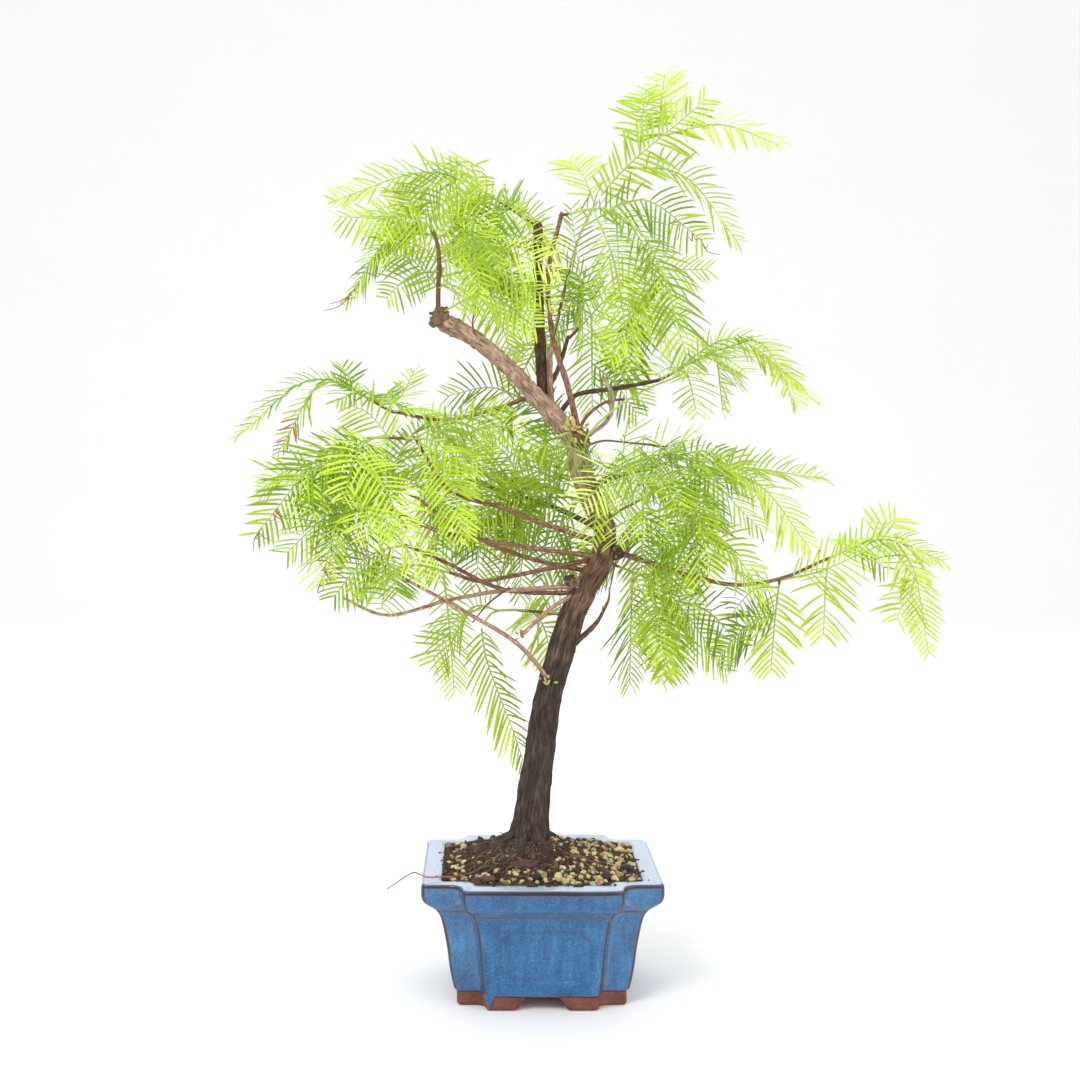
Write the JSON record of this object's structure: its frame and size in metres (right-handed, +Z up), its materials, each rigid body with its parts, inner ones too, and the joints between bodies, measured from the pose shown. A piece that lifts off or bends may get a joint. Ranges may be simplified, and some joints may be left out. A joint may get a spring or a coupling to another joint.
{
  "type": "bonsai dawn redwood in a glazed pot",
  "caption": "Bonsai dawn redwood with a leaning trunk, thin boughs and drooping sprays of soft green needles, in a blue glazed pot with notched corners.",
  "frame": {"origin": "on the ground, under the middle of the whole plant's box", "axes": "+Z up along the plant's height, +X to the right of the pot's long front, +Y to its back"},
  "size_m": [0.4598, 0.2474, 0.61],
  "materials": {
    "glaze": "glossy blue glaze with brown edges over unglazed clay feet",
    "soil": "rough, damp dark soil with pebbles",
    "bark": "rough fibrous bark",
    "wood": "thin reddish bark with small knots",
    "foliage": "soft matt needles"
  },
  "bodies": {
    "root": {"pot": "glaze", "soil": "soil", "trunk": "bark", "bough_back_left": "wood", "bough_back_right": "wood", "bough_back_top": "wood", "bough_broken_stub": "wood", "bough_bud_twig": "wood", "bough_dead_stub": "wood", "bough_grey_twig": "wood", "bough_leader": "bark", "bough_left_back": "wood", "bough_left_bare": "wood", "bough_left_front": "wood", "bough_left_high": "wood", "bough_left_low": "wood", "bough_left_low_back": "wood", "bough_left_low_front": "wood", "bough_long_right": "wood", "bough_pale_stem": "wood", "bough_red_shoot": "wood", "bough_upper_left": "wood", "bough_upper_right": "wood", "bough_upper_right_low": "wood", "foliage_back_left": "foliage", "foliage_back_right": "foliage", "foliage_behind_leader": "foliage", "foliage_far_right": "foliage", "foliage_hanging": "foliage", "foliage_inner_left": "foliage", "foliage_left_back": "foliage", "foliage_left_front": "foliage", "foliage_left_high": "foliage", "foliage_low_left": "foliage", "foliage_low_left_back": "foliage", "foliage_low_left_front": "foliage", "foliage_low_right": "foliage", "foliage_outer_left": "foliage", "foliage_right_front": "foliage", "foliage_right_middle": "foliage", "foliage_top_arch": "foliage", "foliage_top_back": "foliage", "foliage_top_front": "foliage", "foliage_top_left": "foliage", "foliage_top_right": "foliage", "foliage_under_right": "foliage", "foliage_upper_right": "foliage"}
  },
  "joints": []
}
